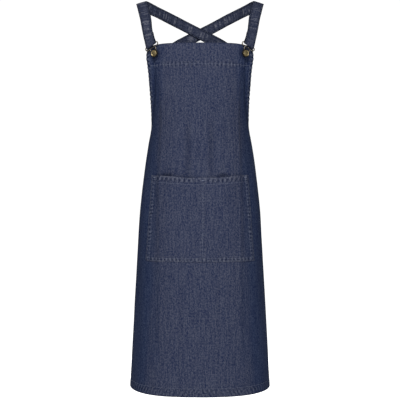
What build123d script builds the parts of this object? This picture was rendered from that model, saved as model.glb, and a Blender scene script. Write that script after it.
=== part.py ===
from build123d import *

import os
from math import acos, atan2, cos, degrees, radians, sin

# Cross-back smock apron of denim, in the shape it takes when worn: a bib, sides and skirt in one
# cloth, a patch pocket, and two straps that hook to the bib with dungaree buckles.
# Millimetres, +X to the viewer's right, -Y out of the apron's front, +Z up. The origin is midway
# between the tops of the two shoulder straps. "Left" pieces are on the -X side.

# Cloth
cloth = 1.6
ply_gap = 0.1
bib_top = -124.0
hem_bottom = -1002.0
hem_fold = 21.0
facing_depth = 53.0
facing_inset = 2.0
back_gap_half = 95.0

# Worn form, by height: half width, front depth, back depth, and where its middle plane lies
form_stations = (
    (-1002.0, 183.5, 171.5, 120.0, 35.0),
    (-915.0, 178.5, 165.5, 118.0, 31.5),
    (-750.0, 169.0, 154.0, 115.0, 25.0),
    (-620.0, 162.0, 144.0, 112.0, 20.0),
    (-540.0, 156.5, 137.0, 110.0, 16.5),
    (-460.0, 147.0, 129.0, 107.0, 13.5),
    (-410.0, 140.5, 123.0, 105.0, 11.5),
    (-370.0, 134.0, 118.0, 104.0, 10.0),
    (-335.0, 127.6, 114.5, 103.0, 8.5),
    (-300.0, 126.8, 112.0, 102.5, 7.0),
    (-250.0, 132.5, 109.0, 102.5, 5.0),
    (-200.0, 144.0, 106.0, 103.0, 3.0),
    (-155.0, 153.0, 102.0, 103.0, 1.0),
    (-100.0, 161.0, 98.0, 102.0, 0.0),
)
squareness = 8.0  # how sharply the flat front turns into the round sides
roundness = 0.88  # front depth over the depth that the round sides alone would have
outline_points = 24
form_rows = 18
form_top = -100.0

# Armhole edge seen from the side, from the bib's corner round the underarm to the back corner
bib_corner = (-58.0, bib_top)
armhole_points = (
    bib_corner,
    (-56.0, -160.0),
    (-50.0, -205.0),
    (-33.0, -250.0),
    (-10.0, -290.0),
    (15.0, -312.0),
    (38.0, -296.0),
    (53.0, -250.0),
    (60.0, -190.0),
)
back_corner_inner = (back_gap_half, -203.0)
back_corner_outer = (126.0, -196.0)

# Patch pocket
pocket_top = -462.5
pocket_bottom = -668.0
pocket_half_top = 121.0
pocket_half_bottom = 136.0
pocket_mouth = 11.0  # how far the pocket stands off the skirt at its mouth
pocket_wall = 2.0
pocket_room_rise = 20.0  # how far above the mouth the pocket's room is cut
divider_x = 7.0

# Straps
strap_width = 29.0
strap_thickness = 2.2
crossing_lift = 2.9

# Dungaree buckle and its button, drawn on a plane that faces along the button's axis
button_x = -110.7
button_z = -148.5
button_turn = 26.0  # degrees that the button faces sideways
wire_radius = 1.4
wire_height = 5.5
buckle_lean = 27.0
strap_lean = 14.2
loop_centre = 20.9
loop_half_straight = 14.4
loop_end_radius = 4.35
leg_half_spacing = 8.5
neck_radius = 3.4
neck_clearance = 0.4
bar_clearance = 0.2
strap_end_reach = 52.0
strap_end_gap = 0.6
cap_radius = 10.0
cap_back = 7.6
cap_front = 11.6
cap_mouth = 4.2
ring_radius = 6.4
dome_height = 0.9
tack_radius = 1.2
bore_clearance = 0.05
tack_head_radius = 5.0
tack_head_thickness = 1.0
tack_head_face = -4.7
shank_foot = 1.0
shank_foot_radius = 4.5
flange_low = 8.5
flange_radius = 7.6
flange_thickness = 0.8
cap_ceiling = 9.4
bore_end = 7.9
rim_inset = 1.3
rim_middle = 1.6
ring_drop = 1.1  # how far the ring's groove lies below the cap's rim
flange_clearance = 0.3
shank_foot_thickness = 0.8
tack_tip_radius = 0.4
tack_tip_length = 0.7
tack_end_gap = 0.2

# Bar tacks
bartack_length = 9.0
bartack_width = 2.2
bartack_height = 0.9
bartack_gap = 0.4
pocket_tack_drop = 5.0
pocket_tack_inset = 9.0
fold_tack_inset = 9.0
anchor_tack_inset = 7.0
anchor_tack_gap = 0.5

# Reaches of cuts: past the whole apron, past the cloth at a button, and past a strap's end
everything = 400.0
hole_reach = 8.0
strap_cut_reach = 40.0
strap_end_reach_out = 30.0
opening_plane_y = 40.0  # the back opening is cut from here backwards


def form_at(height):
    """Half width, front depth, back depth and middle plane of the worn form at one height."""
    rows = form_stations
    last = len(rows) - 2
    i = max(k for k in range(last + 1) if k == 0 or rows[k][0] <= height)
    low, high = rows[i], rows[i + 1]
    before, after = rows[max(i - 1, 0)], rows[min(i + 2, last + 1)]
    span = high[0] - low[0]
    t = (height - low[0]) / span
    values = []
    for column in range(1, 5):
        slope_low = (high[column] - before[column]) / (high[0] - before[0]) * span
        slope_high = (after[column] - low[column]) / (after[0] - low[0]) * span
        values.append(
            (2 * t**3 - 3 * t**2 + 1) * low[column]
            + (t**3 - 2 * t**2 + t) * slope_low
            + (3 * t**2 - 2 * t**3) * high[column]
            + (t**3 - t**2) * slope_high
        )
    return values


def form_point(height, bearing, offset=0.0):
    """The point of the worn form at one height and bearing, in degrees round from +X to +Y."""
    half_width, front, back, middle = form_at(height)
    depth = (back if sin(radians(bearing)) > 0 else front) + offset
    across = cos(radians(bearing))
    along = sin(radians(bearing))
    side = (across / (half_width + offset)) ** 2 + (roundness * along / depth) ** 2
    flat = (1 - roundness**squareness) * (abs(along) / depth) ** squareness
    reach = (side ** (squareness / 2) + flat) ** (-1 / squareness)
    return Vector(reach * across, middle + reach * along, height)


def form_normal(height, bearing):
    """The outward direction of the worn form, level with the ground."""
    step = form_point(height, bearing + 1) - form_point(height, bearing - 1)
    return step.cross(Vector(0, 0, 1)).normalized()


def bearing_at(height, x, left=180.0, right=360.0):
    """The bearing at which the form lies at this x, searched between its -X and its +X side."""
    for _ in range(40):
        middle = (left + right) / 2
        if form_point(height, middle).X < x:
            left = middle
        else:
            right = middle
    return (left + right) / 2


def pocket_share(height):
    """0 at the pocket's bottom, rising to 1 at its mouth."""
    share = (height - pocket_bottom) / (pocket_top - pocket_bottom)
    return min(max(share, 0.0), 1.2)


def worn_form(offset, mode=Mode.ADD, mouth=0.0):
    """The solid inside the worn form, grown by an offset and by a pocket's mouth."""
    rise = (form_top - hem_bottom) / form_rows
    sections = []
    for row in range(form_rows + 1):
        height = hem_bottom + row * rise
        grown = offset + mouth * pocket_share(height)
        with BuildSketch(Plane.XY.offset(height)) as section:
            with BuildLine():
                points = [
                    form_point(height, 360 * i / outline_points, grown)
                    for i in range(outline_points)
                ]
                Spline(*[(p.X, p.Y) for p in points], periodic=True)
            make_face()
        sections.append(section.sketch)
    loft(sections, mode=mode)


def keep_heights(low, high):
    """Keep only what lies between two heights."""
    with BuildSketch(Plane.XY.offset(low)) as slab:
        Rectangle(2 * everything, 2 * everything)
    extrude(slab.sketch, amount=high - low, mode=Mode.INTERSECT)


def cut_armholes(inset=0.0):
    """Cut everything above the bib's top edge and the armhole edges, less an inset."""
    edge = [(y - inset, z - inset) for y, z in armhole_points]
    with BuildSketch(Plane.YZ) as above:
        with BuildLine():
            Spline(*edge)
            Polyline(edge[-1], (edge[-1][0], everything), (-everything, everything))
            Polyline((-everything, everything), (-everything, edge[0][1]), edge[0])
        make_face()
    extrude(above.sketch, amount=everything, both=True, mode=Mode.SUBTRACT)


def cut_back_opening():
    """Cut the gap between the two back edges and slant the tops of the back corners."""
    inner, outer = back_corner_inner, back_corner_outer
    slope = (outer[1] - inner[1]) / (outer[0] - inner[0])
    far = (everything, inner[1] + slope * (everything - inner[0]))
    right = [(inner[0], -3 * everything), inner, far, (everything, 2 * everything)]
    left = [(-x, z) for x, z in reversed(right)]
    with BuildSketch(Plane.XZ.offset(-opening_plane_y)) as opening:
        with BuildLine():
            Polyline(*right, *left, close=True)
        make_face()
    extrude(opening.sketch, amount=-everything, mode=Mode.SUBTRACT)


button_bearing = bearing_at(button_z, button_x)
button_seat = form_point(button_z, button_bearing)
button_axis = Vector(-sin(radians(button_turn)), -cos(radians(button_turn)), 0)
button_plane = Plane(
    origin=button_seat, x_dir=(-button_axis.Y, button_axis.X, 0), z_dir=button_axis
)


def drill_tack_holes():
    """Holes for both tacks through the bib."""
    for side in (1, -1):
        seat = Vector(button_seat.X * side, button_seat.Y, button_seat.Z)
        axis = Vector(button_axis.X * side, button_axis.Y, 0)
        with BuildSketch(Plane(origin=seat, z_dir=axis)) as hole:
            Circle(tack_radius + bore_clearance)
        extrude(hole.sketch, amount=hole_reach, both=True, mode=Mode.SUBTRACT)


def other_side(part, label):
    """The piece's twin on the +X side."""
    with BuildPart() as twin:
        add(mirror(part, about=Plane.YZ))
    twin.part.label = label
    return twin.part


# The room inside the apron's cloth, above its bottom hem
with BuildPart() as room_above_hem:
    worn_form(-cloth)
    keep_heights(hem_bottom + hem_fold, 0)

# Body panel: bib, sides and skirt in one cloth, doubled along the bottom hem
with BuildPart() as body_panel:
    worn_form(0)
    worn_form(-2 * cloth, Mode.SUBTRACT)
    add(room_above_hem.part, mode=Mode.SUBTRACT)
    cut_armholes()
    cut_back_opening()
    drill_tack_holes()
body_panel.part.label = "body_panel"

# Facing: a second band of cloth behind the top of the bib
with BuildPart() as bib_facing:
    worn_form(-cloth - ply_gap)
    worn_form(-2 * cloth - ply_gap, Mode.SUBTRACT)
    keep_heights(bib_top - facing_depth, 0)
    cut_armholes(facing_inset)
    with BuildSketch(Plane.XZ):
        Rectangle(2 * everything, 2 * everything)
    extrude(amount=everything, mode=Mode.INTERSECT)
    drill_tack_holes()
bib_facing.part.label = "bib_facing"


def pocket_outline(inset, top):
    """The pocket's face seen from the front, less an inset on its sides and bottom."""
    slope = (pocket_half_bottom - pocket_half_top) / (pocket_top - pocket_bottom)
    rise = top - pocket_top
    return [
        (pocket_half_bottom - inset, pocket_bottom + inset),
        (pocket_half_top - inset - slope * rise, top),
    ]


def pocket_prism(inset, top, mode):
    """The pocket's face drawn out forwards, to be kept or cut."""
    right = pocket_outline(inset, top)
    left = [(-x, z) for x, z in reversed(right)]
    with BuildSketch(Plane.XZ) as face:
        with BuildLine():
            Polyline(*right, *left, close=True)
        make_face()
    extrude(face.sketch, amount=everything, mode=mode)


# Pocket: a cloth that stands off the skirt and is closed along its sides and bottom
with BuildPart() as pocket_room_solid:
    worn_form(ply_gap, mouth=pocket_mouth)
    pocket_prism(pocket_wall, pocket_top + pocket_room_rise, Mode.INTERSECT)
    with BuildSketch(Plane.XZ):
        with Locations((divider_x, (pocket_top + pocket_bottom) / 2)):
            Rectangle(pocket_wall, everything)
    extrude(amount=everything, mode=Mode.SUBTRACT)

with BuildPart() as pocket_panel:
    worn_form(ply_gap + cloth, mouth=pocket_mouth)
    pocket_prism(0, pocket_top, Mode.INTERSECT)
    add(pocket_room_solid.part, mode=Mode.SUBTRACT)
    worn_form(ply_gap, Mode.SUBTRACT)
pocket_panel.part.label = "pocket_panel"


def bartack(height, bearing, offset, turn=0.0):
    """A short bar of thread on the worn form, offset outward and turned about its normal."""
    middle = form_point(height, bearing, offset)
    normal = form_normal(height, bearing)
    across = Vector(0, 0, 1).cross(normal).rotate(Axis((0, 0, 0), normal), turn)
    with BuildSketch(Plane(origin=middle, x_dir=across, z_dir=normal)) as bar:
        SlotOverall(bartack_length, bartack_width)
    extrude(bar.sketch, amount=bartack_height)


# Bar tacks of thread at the pocket's mouth
with BuildPart() as pocket_bartacks:
    tack_height = pocket_top - pocket_tack_drop
    tack_offset = pocket_mouth * pocket_share(tack_height) + cloth + bartack_gap
    corner_x = pocket_half_top - pocket_tack_inset
    for tack_x in (-corner_x, divider_x, corner_x):
        bartack(tack_height, bearing_at(tack_height, tack_x), tack_offset)
pocket_bartacks.part.label = "pocket_bartacks"


# Strap route on the -X shoulder, as the middle of the strap's thickness and the way it faces.
# It starts above the buckle, goes up over the shoulder, crosses the back and ends sewn to the
# back corner on the +X side.
bar_reach = loop_centre + loop_end_radius
strap_height = wire_height + wire_radius + bar_clearance + strap_thickness / 2


def on_button_plane(across, up, out):
    """A point given across, up and out from the button's seat."""
    return button_plane.from_local_coords(Vector(across, up, out))


def strap_line(distance):
    """A point of the strap's front ply, by its distance along the strap from the bar."""
    return on_button_plane(
        -bar_reach * sin(radians(buckle_lean)) - distance * sin(radians(strap_lean)),
        bar_reach * cos(radians(buckle_lean)) + distance * cos(radians(strap_lean)),
        strap_height,
    )


def on_back(x, height, stand_off):
    """A point of the back of the worn form and the way it faces."""
    bearing = bearing_at(height, x, 180.0, 0.0)
    return form_point(height, bearing, stand_off), form_normal(height, bearing)


sewn_stand_off = strap_thickness / 2 + 1.4
free_route = [
    (strap_line(22), button_axis),
    (strap_line(30), button_axis),
    (Vector(-137.0, -62.0, -62.0), Vector(-0.28, -0.86, 0.40)),
    (Vector(-145.0, -37.0, -29.0), Vector(-0.26, -0.62, 0.72)),
    (Vector(-150.5, -14.0, -9.0), Vector(-0.28, -0.30, 0.91)),
    (Vector(-152.0, 0.0, -4.6), Vector(-0.29, 0.05, 0.96)),
    (Vector(-148.5, 14.0, -6.6), Vector(-0.46, 0.30, 0.84)),
    (Vector(-139.0, 24.5, -11.0), Vector(-0.64, 0.54, 0.54)),
    (Vector(-123.9, 35.0, -16.8), Vector(-0.70, 0.68, 0.22)),
    (Vector(-98.6, 60.0, -25.1), Vector(-0.68, 0.72, 0.15)),
    (Vector(-72.5, 80.0, -35.0), Vector(-0.50, 0.85, 0.15)),
    (Vector(-43.0, 95.5, -48.0), Vector(-0.12, 0.99, 0.0)),
    (Vector(0.0, 98.0, -69.5), Vector(0.0, 1.0, 0.0)),
    (Vector(43.0, 95.5, -91.5), Vector(0.12, 0.99, 0.0)),
]
crossing_stations = (11, 12, 13)
sewn_route = [
    on_back(73.0, -110.0, sewn_stand_off),
    on_back(94.0, -136.0, sewn_stand_off),
    on_back(105.5, -168.0, sewn_stand_off),
    on_back(111.0, -200.0, sewn_stand_off),
    on_back(114.5, -226.0, sewn_stand_off),
]


def strap_section(route, index):
    """The plane across the strap at one point of its route: x across the strap, z along it."""
    point, facing = route[index]
    before = route[max(index - 1, 0)][0]
    after = route[min(index + 1, len(route) - 1)][0]
    along = (after - before).normalized()
    return Plane(origin=point, x_dir=along.cross(facing), z_dir=along)


def strap_route(lift):
    """The whole route, moved outward where the two straps cross."""
    route = list(free_route)
    for index in crossing_stations:
        point, facing = route[index]
        route[index] = (point + Vector(0, lift, 0), facing)
    return route + sewn_route


def make_strap(lift):
    """The strap on the -X shoulder, cut off on an arc about its button."""
    route = strap_route(lift)
    with BuildPart() as strap:
        for index in range(len(route)):
            with BuildSketch(strap_section(route, index)):
                Rectangle(strap_width, strap_thickness)
        loft()
        with BuildSketch(button_plane):
            Circle(strap_end_reach + strap_end_gap)
        extrude(amount=strap_cut_reach, both=True, mode=Mode.SUBTRACT)
    return strap.part


left_strap = make_strap(-crossing_lift)
left_strap.label = "left_strap"
right_strap = other_side(make_strap(crossing_lift), "right_strap")

# Strap end: one strap folded round the buckle's upper bar and sewn to itself
bar_plane = Plane(
    origin=on_button_plane(
        -bar_reach * sin(radians(buckle_lean)), bar_reach * cos(radians(buckle_lean)), 0
    ),
    x_dir=button_plane.x_dir * cos(radians(buckle_lean)) + Vector(0, 0, sin(radians(buckle_lean))),
    z_dir=button_axis,
)
fold_plane = Plane(origin=bar_plane.origin, x_dir=bar_plane.y_dir, z_dir=bar_plane.x_dir)
fold_inner = wire_radius + bar_clearance
fold_outer = fold_inner + strap_thickness
front_back = wire_height + fold_inner
tail_length = 26.0
tail_join = 13.0
tail_tack_across = 3.0
tail_tack_drop = 5.0
tack_sink = 0.05  # how far the fold's bar tack sinks into the strap
fold_room_end = tail_join - 1.0

with BuildPart() as left_strap_end:
    # the fold's section lies in the plane across the bar: up the strap, then out from the bib
    with BuildSketch(fold_plane) as fold_section:
        out = -1 if fold_plane.y_dir.dot(button_axis) < 0 else 1
        with BuildLine():
            Polyline(
                (0, out * (front_back + strap_thickness)),
                (2 * strap_end_reach, out * (front_back + strap_thickness)),
                (2 * strap_end_reach, out * front_back),
                (tail_length, out * front_back),
                (tail_length, out * (front_back - strap_thickness)),
                (tail_join, out * (front_back - strap_thickness)),
                (0, out * (wire_height - fold_outer)),
            )
            ThreePointArc(
                (0, out * (wire_height - fold_outer)),
                (-fold_outer, out * wire_height),
                (0, out * (wire_height + fold_outer)),
            )
        make_face()
        with BuildLine():
            Polyline(
                (0, out * front_back),
                (fold_room_end, out * front_back),
                (0, out * (wire_height - fold_inner)),
            )
            ThreePointArc(
                (0, out * (wire_height - fold_inner)),
                (-fold_inner, out * wire_height),
                (0, out * front_back),
            )
        make_face(mode=Mode.SUBTRACT)
    extrude(amount=strap_width, both=True)
    # trimmed to the strap's own width, which leans a little to the bar
    with BuildSketch(Plane(origin=bar_plane.origin, x_dir=bar_plane.x_dir, z_dir=button_axis)):
        Rectangle(strap_width, 3 * strap_end_reach, rotation=strap_lean - buckle_lean)
    extrude(amount=strap_end_reach_out, both=True, mode=Mode.INTERSECT)
    with BuildSketch(button_plane):
        Circle(strap_end_reach)
    extrude(amount=strap_end_reach_out, both=True, mode=Mode.INTERSECT)
left_strap_end.part.label = "left_strap_end"

# Bar tack that closes the fold, on the back of the strap's tail
with BuildPart() as left_strap_bartack:
    tack_plane = Plane(
        origin=bar_plane.from_local_coords(
            Vector(
                tail_tack_across,
                tail_length - tail_tack_drop,
                front_back - strap_thickness - tack_sink,
            )
        ),
        x_dir=bar_plane.x_dir,
        z_dir=-button_axis,
    )
    with BuildSketch(tack_plane):
        SlotOverall(strap_width - fold_tack_inset, bartack_width)
    extrude(amount=bartack_height)
left_strap_bartack.part.label = "left_strap_bartack"

# Buckle: one wire, a long eye for the strap and a hook that narrows round the button's neck
hook_radius = neck_radius + neck_clearance + wire_radius
leg_top = loop_centre - loop_end_radius
leg_bearing = degrees(atan2(leg_top, leg_half_spacing))
leg_distance = (leg_top**2 + leg_half_spacing**2) ** 0.5
hook_bearing = leg_bearing - degrees(acos(hook_radius / leg_distance))
wire_plane = Plane(
    origin=on_button_plane(0, 0, wire_height), x_dir=bar_plane.x_dir, z_dir=button_axis
)

eye_low = loop_centre - loop_end_radius
eye_high = loop_centre + loop_end_radius
eye_end = loop_half_straight + loop_end_radius
hook_turn = radians(hook_bearing)
hook_start = (hook_radius * cos(hook_turn), hook_radius * sin(hook_turn))

with BuildPart() as left_buckle:
    with BuildLine(wire_plane) as eye:
        Line((-loop_half_straight, eye_low), (loop_half_straight, eye_low))
        ThreePointArc(
            (loop_half_straight, eye_low), (eye_end, loop_centre), (loop_half_straight, eye_high)
        )
        Line((loop_half_straight, eye_high), (-loop_half_straight, eye_high))
        ThreePointArc(
            (-loop_half_straight, eye_high), (-eye_end, loop_centre), (-loop_half_straight, eye_low)
        )
    with BuildSketch(Plane(eye.line @ 0, x_dir=button_axis, z_dir=eye.line % 0)):
        Circle(wire_radius)
    sweep(path=eye.wires()[0])
    with BuildLine(wire_plane) as hook:
        Line((leg_half_spacing, eye_low), hook_start)
        ThreePointArc(hook_start, (0, -hook_radius), (-hook_start[0], hook_start[1]))
        Line((-hook_start[0], hook_start[1]), (-leg_half_spacing, eye_low))
    with BuildSketch(Plane(hook.line @ 0, x_dir=button_axis, z_dir=hook.line % 0)):
        Circle(wire_radius)
    sweep(path=hook.wires()[0])
left_buckle.part.label = "left_buckle"

# Button: a ringed cap crimped over the flange of a hollow shank, turning on a riveted tack
button_section = Plane(
    origin=button_seat, x_dir=button_plane.x_dir, z_dir=button_plane.y_dir * -1
)
button_line = Axis(button_seat, button_axis)
rim = cap_radius - rim_inset
dome_drop = ring_drop - dome_height
dome_radius = (ring_radius**2 + dome_height**2) / (2 * dome_height)

with BuildPart() as left_button_cap:
    with BuildSketch(button_section):
        with BuildLine():
            Line((cap_mouth, cap_back), (rim, cap_back))
            ThreePointArc((rim, cap_back), (cap_radius, cap_back + rim_middle), (rim, cap_front))
            Line((rim, cap_front), (ring_radius, cap_front - ring_drop))
            RadiusArc((ring_radius, cap_front - ring_drop), (0, cap_front - dome_drop), -dome_radius)
            Polyline(
                (0, cap_front - dome_drop),
                (0, cap_ceiling),
                (flange_radius + flange_clearance, cap_ceiling),
                (flange_radius + flange_clearance, flange_low),
                (cap_mouth, flange_low),
                (cap_mouth, cap_back),
            )
        make_face()
    revolve(axis=button_line)
left_button_cap.part.label = "left_button_cap"

with BuildPart() as left_button_shank:
    with BuildSketch(button_section):
        with BuildLine():
            Polyline(
                (tack_radius + bore_clearance, shank_foot),
                (shank_foot_radius, shank_foot),
                (shank_foot_radius, shank_foot + shank_foot_thickness),
                (neck_radius, shank_foot + shank_foot_thickness),
                (neck_radius, flange_low),
                (flange_radius, flange_low),
                (flange_radius, flange_low + flange_thickness),
                (0, flange_low + flange_thickness),
                (0, bore_end),
                (tack_radius + bore_clearance, bore_end),
                close=True,
            )
        make_face()
    revolve(axis=button_line)
left_button_shank.part.label = "left_button_shank"

with BuildPart() as left_button_tack:
    with BuildSketch(button_section):
        with BuildLine():
            Polyline(
                (0, tack_head_face - tack_head_thickness),
                (tack_head_radius, tack_head_face - tack_head_thickness),
                (tack_head_radius, tack_head_face),
                (tack_radius, tack_head_face),
                (tack_radius, bore_end - tack_end_gap - tack_tip_length),
                (tack_tip_radius, bore_end - tack_end_gap),
                (0, bore_end - tack_end_gap),
                close=True,
            )
        make_face()
    revolve(axis=button_line)
left_button_tack.part.label = "left_button_tack"

# Rows of thread that hold both straps to the back corners
with BuildPart() as strap_anchor_bartacks:
    for route, side in ((strap_route(0), 1), (strap_route(0), -1)):
        for station in (-2, -1):
            point, facing = route[station]
            point = Vector(point.X * side, point.Y, point.Z)
            facing = Vector(facing.X * side, facing.Y, facing.Z)
            face = point + facing * (strap_thickness / 2 + anchor_tack_gap)
            with BuildSketch(Plane(origin=face, x_dir=facing.cross(Vector(0, 0, 1)), z_dir=facing)):
                SlotOverall(strap_width - anchor_tack_inset, bartack_width)
            extrude(amount=bartack_height)
strap_anchor_bartacks.part.label = "strap_anchor_bartacks"

pieces = [
    body_panel.part,
    bib_facing.part,
    pocket_panel.part,
    pocket_bartacks.part,
    left_strap,
    right_strap,
    strap_anchor_bartacks.part,
]
for piece in (
    left_strap_end.part,
    left_strap_bartack.part,
    left_buckle.part,
    left_button_cap.part,
    left_button_shank.part,
    left_button_tack.part,
):
    pieces += [piece, other_side(piece, piece.label.replace("left", "right"))]

os.makedirs("parts", exist_ok=True)
for piece in pieces:
    export_step(piece, f"parts/{piece.label}.step")
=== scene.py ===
import math

import bpy
import numpy as np
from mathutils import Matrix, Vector


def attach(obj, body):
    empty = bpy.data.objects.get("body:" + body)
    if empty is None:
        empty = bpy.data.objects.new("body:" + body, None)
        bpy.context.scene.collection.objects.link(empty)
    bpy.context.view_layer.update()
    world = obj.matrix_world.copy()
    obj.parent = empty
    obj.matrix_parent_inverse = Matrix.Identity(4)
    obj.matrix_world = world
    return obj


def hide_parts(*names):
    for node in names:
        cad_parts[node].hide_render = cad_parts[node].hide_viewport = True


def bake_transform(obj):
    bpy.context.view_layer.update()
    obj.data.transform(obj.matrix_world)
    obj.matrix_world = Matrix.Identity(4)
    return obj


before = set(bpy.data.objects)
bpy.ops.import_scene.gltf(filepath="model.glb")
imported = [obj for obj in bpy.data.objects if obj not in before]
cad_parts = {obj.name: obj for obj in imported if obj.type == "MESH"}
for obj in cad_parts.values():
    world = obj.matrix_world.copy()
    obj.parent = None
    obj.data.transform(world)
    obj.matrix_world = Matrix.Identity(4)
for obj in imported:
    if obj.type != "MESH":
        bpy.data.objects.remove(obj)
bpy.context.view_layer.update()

# The looks of a cross-back smock apron of denim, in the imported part's frame: +X to the viewer's
# right, -Y out of the front, +Z up, and the origin midway between the tops of the straps. A place
# on the cloth is an arc, the distance round the form from the front's centre line, and a height
# z. Folds and hollows are given as place, width and depth.
MM = 0.001
FAR = 1000.0

# Cloth
CLOTH = 1.1
HEM_PLIES = 1.5  # what a turned hem adds on the inside
HEM_SOFTNESS = 1.2  # how far the step at a hem's end is spread
BIB_TOP = -124
HEM_BOTTOM = -1002
HEM_DEPTH = 21
SIDE_HEM = 10
FACING_DEPTH = 53
FACING_STITCH = BIB_TOP - FACING_DEPTH
CORNER_DROOP = 3.5
BACK_GAP_HALF = 95
BACK_CORNER_INNER = -203  # height of a back corner at the back gap
BACK_CORNER_OUTER = -197.5  # and at the armhole
FRONT_COLUMNS = 190
BACK_COLUMNS = 52

# Worn form, by height: half width, front depth, back depth, and where its middle plane lies
FORM = np.array([
    (-1002, 183.5, 171.5, 120, 35),
    (-915, 178.5, 165.5, 118, 31.5),
    (-750, 169, 154, 115, 25),
    (-620, 162, 144, 112, 20),
    (-540, 156.5, 137, 110, 16.5),
    (-460, 147, 129, 107, 13.5),
    (-410, 140.5, 123, 105, 11.5),
    (-370, 134, 118, 104, 10),
    (-335, 127.6, 114.5, 103, 8.5),
    (-300, 126.8, 112, 102.5, 7),
    (-250, 132.5, 109, 102.5, 5),
    (-200, 144, 106, 103, 3),
    (-155, 153, 102, 103, 1),
    (-100, 161, 98, 102, 0),
])
SQUARENESS = 8.0  # how sharply the flat front turns into the round sides
ROUNDNESS = 0.88  # front depth over the depth that the round sides alone would have

# Armhole edge seen from the side, from the bib's corner round the underarm to the back corner
ARMHOLE = np.array([
    (-58.0, -124), (-56, -160), (-50, -205), (-33, -250), (-10, -290),
    (15, -312), (38, -296), (53, -250), (60, -190),
])

# Press creases and folds of the front
CREASE_X = 103
CREASE_DEPTH = 2.2
CHEST_FOLDS = ((-31, 7, 2.9), (-9, 9, -1.3), (29, 8, 2.6), (52, 8, -1.0))
SKIRT_FOLDS = ((-56, 7, 1.9), (-26, 12, -1.2), (55, 7, 1.8), (18, 12, -1.0))
SKIRT_SWAY = 5
SWAY_LENGTH = 130

# Where the sides' painted shade begins: how far below the straps' tops, and how far round the form
UNSHADED_FRONT = np.array([(150, 94), (260, 99), (320, 114), (400, 112), (460, 106), (950, 134)])

# Patch pocket
POCKET_TOP = -453.5
POCKET_SAG = 9.5
POCKET_BOTTOM = -670
POCKET_HALF_TOP = 122.5
POCKET_HALF_BOTTOM = 137.5
POCKET_GAPE = 10
POCKET_STAND_OFF = 1.3
DIVIDER_X = 7
POCKET_MARGIN = 8.5
MOUTH_HEM = 17
MOUTH_HOLLOWS = ((-88, 17, 3.2), (57, 15, 3.2), (-35, 12, 1.2))
MOUTH_SHADE = 0.46875  # how dark a hollow is for each millimetre of its depth

# Straps
STRAP_WIDTH = 29
STRAP_THICKNESS = 2.2
CROSSING_LIFT = 2.4
STRAP_STITCH = 0.78  # share of the half width at which the strap's edges are stitched
ROW_STEP = 1.6
FOLD_FRONT_ROWS = 14

# Dungaree buckle and button, drawn on a plane that faces along the button's axis
BUTTON_X = -110.7
BUTTON_Z = -148.5
BUTTON_TURN = math.radians(26)
BUTTON_FLAT = 7  # the cloth is flat this far round a button's axis
BUTTON_CALM = 22  # and has its folds again this far out
BRIGHT_RADIUS = 7.6
WIRE_RADIUS = 1.4
WIRE_HEIGHT = 5.5
BAR_CLEARANCE = 0.2
BAR_REACH = 25.25  # from the button's axis to the buckle's upper bar
BUCKLE_LEAN = math.radians(27)
STRAP_LEAN = math.radians(14.2)
TAIL_LENGTH = 26
TAIL_JOIN = 13
FOLD_TACK_ACROSS = 3
FOLD_TACK_DROP = 5

# Thread
STITCH_LENGTH = 2.5
STITCH_PITCH = 3.4
THREAD_RADIUS = 0.3

# Studio, in metres
CAMERA_DISTANCE = 2.5
CAMERA_HEIGHT = -0.517
FOCAL_LENGTH = 86.54
SENSOR = 36.0
FLOOR = -1.42
FLOOR_RADIUS = 40.0


# ---- curves and noise


def metres(*lengths):
    return tuple(float(length) * MM for length in lengths)


def unit(ways):
    """Directions brought to a length of 1."""
    return ways / np.linalg.norm(ways, axis=-1, keepdims=True)


def cubic_through(knots, values, at):
    """A smooth curve through values at knots."""
    gaps = np.diff(knots)
    inner = np.arange(1, len(knots) - 1)
    matrix = np.eye(len(knots))
    matrix[inner, inner - 1] = gaps[:-1]
    matrix[inner, inner] = 2 * (gaps[:-1] + gaps[1:])
    matrix[inner, inner + 1] = gaps[1:]
    right = np.zeros(values.shape)
    right[1:-1] = 6 * np.diff(np.diff(values, axis=0) / gaps[:, None], axis=0)
    bend = np.linalg.solve(matrix, right)
    i = np.clip(np.searchsorted(knots, at, side="right") - 1, 0, len(knots) - 2)
    gap = gaps[i][:, None]
    a = (knots[i + 1] - at)[:, None] / gap
    b = 1 - a
    curved = ((a**3 - a) * bend[i] + (b**3 - b) * bend[i + 1]) * gap**2 / 6
    return a * values[i] + b * values[i + 1] + curved


def lengths_along(points):
    """The distance along a line at each of its points."""
    steps = np.linalg.norm(np.diff(points, axis=0), axis=1)
    return np.concatenate([[0], np.cumsum(steps)])


def along_line(points, values, at):
    """Values given at a line's points, read at distances along it."""
    distances = lengths_along(points)
    return np.stack([np.interp(at, distances, column) for column in values.T], -1)


def table_at(table, i, j, s, t):
    """A table read between rows i and i + 1, and between columns j and j + 1."""
    near = table[i, j] * (1 - t) + table[i, j + 1] * t
    far = table[i + 1, j] * (1 - t) + table[i + 1, j + 1] * t
    return near * (1 - s) + far * s


def ramp(value, start, end):
    """0 before start, 1 after end, and smooth between them."""
    t = np.clip((value - start) / (end - start), 0, 1)
    return t * t * (3 - 2 * t)


def within(distance, reach, softness):
    """1 up to a reach, falling smoothly to 0 past it."""
    return 1 - ramp(distance, reach, reach + softness)


def bump(value, middle, width):
    """1 at the middle, falling away smoothly on both sides."""
    return np.exp(-(((value - middle) / width) ** 2))


NOISE_SIDE = 64


def smooth_noise(u, v, seed):
    """Random hills between -1 and 1, one to a unit of u and v."""
    table = np.random.default_rng(seed).uniform(-1, 1, (NOISE_SIDE, NOISE_SIDE))
    table = np.pad(table, (0, 1), mode="wrap")
    i, j = np.floor(u).astype(int), np.floor(v).astype(int)
    return table_at(table, i % NOISE_SIDE, j % NOISE_SIDE, ramp(u - i, 0, 1), ramp(v - j, 0, 1))


# ---- the worn form


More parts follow.
